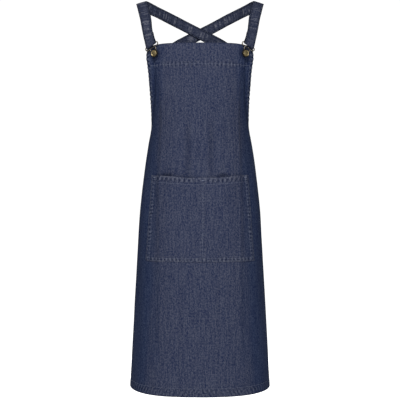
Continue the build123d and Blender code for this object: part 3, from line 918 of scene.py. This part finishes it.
def bar_tack(middle, normal, across, width, depth, rows):
    """Close threads side by side, leaning to and fro."""
    up, facing, parts = np.cross(normal, across), np.stack([normal, normal]), []
    for k in range(rows):
        place = middle + across * width * ((k + 0.5) / rows - 0.5) + normal * 0.35
        reach = up * depth / 2 + across * (0.35 * width / rows) * (1 if k % 2 else -1)
        line = np.stack([place - reach, place + reach])
        parts.append(stitches(line, facing, depth * 0.96, depth, 1.25 * THREAD_RADIUS))
    return parts


def join(parts):
    """Several meshes' points and faces as one."""
    points, faces, count = [], [], 0
    for some_points, some_faces in parts:
        points.append(some_points)
        faces.append(some_faces + count)
        count += len(some_points)
    return np.concatenate(points), np.concatenate(faces)


def make_threads(name, parts):
    return make_object(name, *join(parts), [THREAD])


def inset_armhole(inset):
    """The armhole's edge moved into the cloth, on the flat."""
    ahead = unit(np.gradient(armhole_flat, axis=0))
    moved = armhole_flat + inset * np.stack([ahead[:, 1], -ahead[:, 0]], -1)
    keep = moved[:, 1] < BACK_CORNER_OUTER - 2
    keep |= np.arange(len(moved)) < underarm
    return moved[keep & (moved[:, 1] < BIB_TOP - CORNER_DROOP - 1)]


def level_seam(reach, z, count):
    """A seam at one height, to a reach on both sides of the middle."""
    return np.linspace(-reach, reach, count), np.full(count, z)


def panel_seams():
    """Rows of stitches on the body panel, as arcs and heights."""
    seams = []
    z = np.linspace(HEM_BOTTOM + HEM_DEPTH, BACK_CORNER_INNER - SIDE_HEM, 400)
    inset = inset_armhole(SIDE_HEM - 0.6)
    for side in (1, -1):
        seams.append((side * (back_edge(z) - SIDE_HEM + 0.6), z))
        seams.append((side * inset[:, 0], inset[:, 1]))
    low = HEM_BOTTOM + HEM_DEPTH - 0.8
    seams.append(level_seam(back_edge(low) - 1, low, 600))
    seams.append(level_seam(front_edge(FACING_STITCH) - 1, FACING_STITCH, 400))
    return seams


def make_panel_stitches():
    """Every seam of the panel, on the outside of the cloth and on its inside."""
    parts = []
    for arc, z in panel_seams():
        points, normals = on_cloth(arc, z)
        inner = points - normals * hem_thickness(arc, z)[:, None]
        parts += [stitches(points, normals), stitches(inner, -normals)]
    return make_threads("body_panel_stitching", parts)


def pocket_seams():
    """Rows of stitches on the pocket, as X and height."""
    inset = POCKET_MARGIN - 0.8
    low = POCKET_BOTTOM + inset
    z = np.linspace(low, POCKET_TOP - 1, 240)
    seams = [(side * (pocket_half(z) - inset), z) for side in (1, -1)]
    rise = np.linspace(low, POCKET_TOP - POCKET_SAG - 1, 240)
    seams.append((np.full(rise.shape, DIVIDER_X), rise))
    seams.append(level_seam(pocket_half(low) - inset, low, 300))
    x, _ = level_seam(pocket_half(POCKET_TOP) - 1, 0, 300)
    seams.append((x, mouth_height(x) - MOUTH_HEM + 0.8))
    return seams


def make_pocket_stitches():
    parts = [stitches(*on_pocket(x, z)) for x, z in pocket_seams()]
    return make_threads("pocket_stitching", parts)


def make_pocket_bartacks():
    """Bar tacks at the pocket's mouth: at its corners and at the divider."""
    corner = POCKET_HALF_TOP - POCKET_MARGIN + 1
    parts = []
    for x, sag in ((-corner, 0), (DIVIDER_X, POCKET_SAG), (corner, 0)):
        (point,), (normal,) = on_pocket(np.array([x]), np.array([POCKET_TOP - 6 - sag]))
        parts += bar_tack(point, normal, unit(np.cross(button_up, normal)), 9, 2.4, 13)
    return make_threads("pocket_bartack_threads", parts)


# ---- straps


def on_button_plane(across, up, out):
    """A place by its distances across, up and out from the left button's seat."""
    ways = ((across, button_across), (up, button_up), (out, button_axis))
    return button_seat + sum(np.multiply.outer(distance, way) for distance, way in ways)


FOLD_RADIUS = WIRE_RADIUS + BAR_CLEARANCE + STRAP_THICKNESS / 2
STRAP_HEIGHT = WIRE_HEIGHT + FOLD_RADIUS
BAR_PLACE = BAR_REACH * np.array([-math.sin(BUCKLE_LEAN), math.cos(BUCKLE_LEAN)])
bar_along = math.cos(BUCKLE_LEAN) * button_across + math.sin(BUCKLE_LEAN) * button_up


def on_strap_line(distance, out):
    """A place on the strap's line over the buckle, by its distance up from the bar."""
    across = BAR_PLACE[0] - distance * math.sin(STRAP_LEAN)
    return on_button_plane(across, BAR_PLACE[1] + distance * math.cos(STRAP_LEAN), out)


def fold_round_bar():
    """Middle line and facing of the strap's end, from its tail round the buckle's bar to the front."""
    tail_height = STRAP_HEIGHT - STRAP_THICKNESS
    low = WIRE_HEIGHT - FOLD_RADIUS
    tail = np.linspace(TAIL_LENGTH, TAIL_JOIN, 9)
    slope = np.linspace(0, 1, 10)[1:]
    turn = np.linspace(math.radians(270), math.radians(90), 15)
    front = np.linspace(0, 21, FOLD_FRONT_ROWS + 1)[1:]
    parts = (
        (tail, tail_height, turn[0]),
        (TAIL_JOIN * (1 - slope), tail_height + (low - tail_height) * ramp(slope, 0, 1), turn[0]),
        (FOLD_RADIUS * np.cos(turn)[1:], WIRE_HEIGHT + FOLD_RADIUS * np.sin(turn)[1:], turn[1:]),
        (front, STRAP_HEIGHT, turn[-1]),
    )
    columns = zip(*(np.broadcast_arrays(*part) for part in parts))
    along, out, angle = (np.concatenate(column) for column in columns)
    up_strap = on_strap_line(1.0, 0.0) - on_strap_line(0.0, 0.0)
    facing = np.multiply.outer(np.cos(angle), up_strap) + np.multiply.outer(np.sin(angle), button_axis)
    return on_strap_line(along, out), facing


# The left strap's way over the shoulder, as points and facings: free of the body, where it crosses
# the other strap on the back, and, as X and height, along the back corner that it is sewn to
FREE_ROUTE = (
    ((-137, -62, -62), (-0.28, -0.86, 0.40)),
    ((-145, -37, -29), (-0.26, -0.62, 0.72)),
    ((-150.5, -14, -9), (-0.28, -0.30, 0.91)),
    ((-152, 0, -4.6), (-0.29, 0.05, 0.96)),
    ((-148.5, 14, -6.6), (-0.46, 0.30, 0.84)),
    ((-139, 24.5, -11), (-0.64, 0.54, 0.54)),
    ((-123.9, 35, -16.8), (-0.70, 0.68, 0.22)),
    ((-98.6, 60, -25.1), (-0.68, 0.72, 0.15)),
    ((-72.5, 80, -35), (-0.50, 0.85, 0.15)),
)
CROSSING_ROUTE = (
    ((-43, 95.5, -48), (-0.12, 0.99, 0)),
    ((0, 98, -69.5), (0, 1, 0)),
    ((43, 95.5, -91.5), (0.12, 0.99, 0)),
)
SEWN_ROUTE = ((73, -110), (94, -136), (105.5, -168), (111, -200), (114.5, -226))
SEWN_STAND_OFF = STRAP_THICKNESS / 2 + 0.9


def route_over_shoulder(lift):
    """Middle line and facing of the strap from the buckle over the shoulder to the back corner."""
    rows = [(on_strap_line(distance, STRAP_HEIGHT), button_axis) for distance in (22, 30)]
    rows += FREE_ROUTE
    rows += [(np.add(point, (0, lift, 0)), normal) for point, normal in CROSSING_ROUTE]
    for x, z in SEWN_ROUTE:
        arc = back_arc(x, z)
        normal = form_normal(arc, z)
        rows.append((on_form(arc, z) + SEWN_STAND_OFF * normal, normal))
    points, facing = (np.array(column) for column in zip(*rows))
    knots = lengths_along(points)
    at = np.arange(0, knots[-1], ROW_STEP)
    return cubic_through(knots, points, at), cubic_through(knots, facing, at)


def on_side(side, *parts):
    """Points or ways of the left side: as they are with side -1, mirrored to the right with 1."""
    return [np.array(part) * (-side, 1, 1) for part in parts]


def strap_rows(side, lift):
    """Every row across a strap: its middle, its half width as a vector, and its facing."""
    fold, route = fold_round_bar(), route_over_shoulder(lift)
    middle, facing = (np.concatenate(part) for part in zip(fold, route))
    ahead = unit(np.gradient(middle, axis=0))
    facing = unit(facing - ahead * (facing * ahead).sum(1, keepdims=True))
    across = np.cross(ahead, facing) * STRAP_WIDTH / 2
    # at the bar the rows lie along it, which leans more than the strap does
    by_bar = bar_along * STRAP_WIDTH / 2 / math.cos(BUCKLE_LEAN - STRAP_LEAN)
    bar_end = len(fold[0]) - FOLD_FRONT_ROWS
    turned = ramp(np.arange(len(middle)) - bar_end, 0, 26)[:, None]
    return on_side(side, middle, by_bar * (1 - turned) + across * turned, facing)


def band_faces(rows, columns, top):
    """The faces of a closed band and of its ends, with the first column on one edge of it and the
    column numbered top on the other."""
    faces, corners = tube_faces(rows, columns).tolist(), []
    first = np.arange(columns)
    for row, order in ((first, 1), (first + (rows - 1) * columns, -1)):
        under = np.roll(row[::-1], 1)
        quads = [row[1 : top - 1], under[1 : top - 1], under[2:top], row[2:top]]
        faces += np.stack(quads, -1)[:, ::order].tolist()
        for corner in ([0, -1, 1], [top - 1, top + 1, top]):
            corners.append(row[corner][::order].tolist())
    return faces + corners


def make_strap(name, side, lift, seed):
    """One strap as a closed band, rippled across between its two rows of edge stitches."""
    middle, across, facing = strap_rows(side, lift)
    distance = lengths_along(middle)
    q = np.concatenate([[-1.0], np.linspace(-0.965, 0.965, 15), [1.0]])
    groove = 1 - 0.22 * bump(np.abs(q), STRAP_STITCH, 0.05) - 0.05 * bump(q, 0, 0.5)
    profile = STRAP_THICKNESS / 2 * groove * np.sqrt(np.clip(1 - np.abs(q) ** 14, 0, 1))
    q_ring = np.concatenate([q, q[-2:0:-1]])
    t_ring = np.concatenate([profile, -profile[-2:0:-1]])
    along = distance[:, None] + 0 * q_ring
    slanted = along + 2.5 * q_ring
    ripple = 0.95 * smooth_noise(slanted / 3.9, 0.8 * q_ring + 3, seed + 3)
    ripple += 0.4 * puckers(slanted, 0 * along, 8.2, 1.0, seed)
    held = (ramp(distance, 34, 60) * ramp(distance[-1] - distance, 20, 45))[:, None]
    ripple *= held * (1 - 0.8 * bump(np.abs(q_ring), 1, 0.12))
    wave = 0.36 * smooth_noise(along / 45, q_ring * 0.8 + 4, seed + 5) * held
    edge_wave = 1 + 0.012 * smooth_noise(along / 9, np.sign(q_ring) * 5.5, seed + 9)
    out = t_ring + ripple + wave
    points = middle[:, None] + facing[:, None] * out[..., None]
    points += across[:, None] * (q_ring * edge_wave)[..., None]
    rows, columns = out.shape
    faces = [face[::-side] for face in band_faces(rows, columns, len(q) - 1)]
    flat_x = q_ring * STRAP_WIDTH / 2 + 0 * along + 900 + 200 * side
    flat = np.stack([flat_x, along + 400], -1).reshape(-1, 2)
    # Painted shade where the strap's rounded edges turn away from the light
    dark = np.clip(1.5 * bump(np.abs(q_ring), 1, 0.3), 0, 1)
    # painted shade in the ripples' troughs; crests worn pale by rubbing, with painted highlight
    crest = 2.2 * ripple * np.where(np.arange(columns) < len(q), 1, -1)
    marks = {
        "edge": np.maximum(dark, 0.3 * np.clip(-crest, 0, 1)).ravel(),
        "rubbed_and_highlit": (np.clip(crest - 0.35, 0, 1) * (1 - dark)).ravel(),
    }
    strap = make_object(name, points.reshape(-1, 3), faces, [DENIM_STRAP], uv=flat, marks=marks)
    seams = []
    for edge in (-STRAP_STITCH, STRAP_STITCH):
        column = int(np.argmin(np.abs(q - edge)))
        for face in (1, -1):
            seams.append(stitches(points[:, face * column], face * facing, radius=0.85 * THREAD_RADIUS))
    return strap, make_threads(name.replace("cloth", "stitching"), seams)


def make_fold_bartack(name, side):
    """Close threads that hold a strap's tail folded round the bar."""
    up = np.cross(bar_along, button_axis)
    up *= np.sign(up[2])
    place = on_button_plane(*BAR_PLACE, STRAP_HEIGHT - 1.5 * STRAP_THICKNESS + 0.1)
    place = place + FOLD_TACK_ACROSS * bar_along + (TAIL_LENGTH - FOLD_TACK_DROP) * up
    place, normal, way = on_side(side, place, -button_axis, bar_along)
    return make_threads(name, bar_tack(place, normal, way, STRAP_WIDTH - 9, 2.4, 26))


def make_anchor_bartacks():
    """Two rows of close threads that hold each strap to its back corner."""
    parts = []
    for side in (-1, 1):
        middle, across, facing = strap_rows(side, side * CROSSING_LIFT)
        distance = lengths_along(middle)
        for from_end in (5, 24):
            row = int(np.argmin(np.abs(distance[-1] - distance - from_end)))
            place = middle[row] + facing[row] * (STRAP_THICKNESS / 2 - 0.1)
            parts += bar_tack(place, facing[row], unit(across[row]), STRAP_WIDTH - 7, 2.6, 30)
    return make_threads("strap_anchor_bartack_threads", parts)


# ---- studio


def area_light(name, place, target, size, power):
    data = bpy.data.lights.new(name, "AREA")
    data.shape = "RECTANGLE"
    data.size, data.size_y = size
    data.energy = power
    light = add_object(name, data)
    light.location = place
    light.rotation_mode = "QUATERNION"
    light.rotation_quaternion = (Vector(target) - Vector(place)).to_track_quat("-Z", "Y")


def make_floor():
    """A wide pale round floor."""
    n = Nodes(bpy.data.materials.new("floor_paper"))
    seen = n.add("ShaderNodeLightPath", output="Is Camera Ray")
    tone = n.step(n.noise(n.add("ShaderNodeTexCoord", output="Object"), 3.0), 0.3, 0.7)
    tone = n.mix(tone, (0.90, 0.90, 0.90), (0.93, 0.93, 0.93))
    paper = n.finish(tone, Roughness=0.9, Emission_Color=(1, 1, 1), Emission_Strength=seen)
    rings, sides = 12, 96
    turn = 2 * math.pi * np.arange(sides) / sides
    radius = FLOOR_RADIUS * (np.arange(1, rings + 1)[:, None, None] / rings) ** 2
    points = (radius * np.stack([np.cos(turn), np.sin(turn), 0 * turn], -1)).reshape(-1, 3)
    points = np.concatenate([points, [[0, 0, 0]]]) + (0, 0, FLOOR)
    faces = tube_faces(rings, sides)[:, ::-1].tolist()
    faces += [[rings * sides, k, (k + 1) % sides] for k in range(sides)]
    make_object("floor", points / MM, faces, [paper])


def make_world():
    """White all round: bright to look at, and weaker as a light."""
    n = Nodes(bpy.data.worlds.new("studio"), "Background")
    bpy.context.scene.world = n.owner
    seen = n.add("ShaderNodeLightPath", output="Is Camera Ray")
    strength = n.add("ShaderNodeMapRange", {"Value": seen, "To Min": 0.16, "To Max": 1.05}, "Result")
    n.put(n.shader, {"Color": (1, 1, 1), "Strength": strength})


def make_studio():
    make_world()
    make_floor()
    middle = (0, 0, 0.5 * (BIB_TOP + HEM_BOTTOM) * MM)
    area_light("key", (-0.35, -2.5, 1.5), middle, (1.1, 0.9), 56)
    area_light("fill", (0.4, -3.2, -0.5), middle, (1.6, 1.6), 26)
    area_light("back", (0.4, 3.0, 0.9), middle, (1.6, 1.6), 60)
    camera = bpy.data.cameras.new("camera")
    camera.lens = FOCAL_LENGTH
    camera.sensor_width = SENSOR
    holder = add_object("camera", camera)
    holder.location = (0, -CAMERA_DISTANCE, CAMERA_HEIGHT)
    holder.rotation_euler = (math.radians(90), 0, 0)
    bpy.context.scene.camera = holder
    bpy.context.scene.view_settings.view_transform = "Standard"


# ---- the apron put together


def finish_hardware():
    """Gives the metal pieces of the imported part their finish."""
    finishes = {"buckle": GUNMETAL, "button_cap": BRASS, "button_shank": BRASS, "button_tack": TACK_METAL}
    for side in ("left", "right"):
        for part, material in finishes.items():
            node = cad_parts[f"{side}_{part}"]
            node.data.materials.clear()
            node.data.materials.append(material)


def put_on(piece, body, slot, *replaced):
    """Rides a piece on a body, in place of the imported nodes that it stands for."""
    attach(piece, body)
    if replaced:
        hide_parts(*replaced)


panel = make_panel()
panel_stitches = make_panel_stitches()
facing = make_facing()
pocket = make_pocket()
pocket_stitches = make_pocket_stitches()
pocket_bartacks = make_pocket_bartacks()
anchor_bartacks = make_anchor_bartacks()
finish_hardware()

put_on(panel, "apron", "denim", "body_panel")
put_on(facing, "apron", "denim", "bib_facing")
put_on(pocket, "apron", "denim_pocket", "pocket_panel")
put_on(panel_stitches, "apron", "thread")
put_on(pocket_stitches, "apron", "thread")
put_on(pocket_bartacks, "apron", "thread", "pocket_bartacks")
put_on(anchor_bartacks, "apron", "thread", "strap_anchor_bartacks")

for name, side, seed in (("left", -1, 61), ("right", 1, 83)):
    lift = side * CROSSING_LIFT
    strap, strap_stitches = make_strap(f"{name}_strap_cloth", side, lift, seed)
    fold_bartack = make_fold_bartack(f"{name}_strap_bartack_threads", side)
    put_on(fold_bartack, f"{name}_buckle", "thread", f"{name}_strap_bartack")
    for piece, slot in ((strap, "denim_strap"), (strap_stitches, "thread")):
        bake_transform(piece)
    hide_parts(f"{name}_strap", f"{name}_strap_end")
    metres(STRAP_WIDTH, lengths_along(strap_rows(side, lift)[0])[-1])

make_studio()
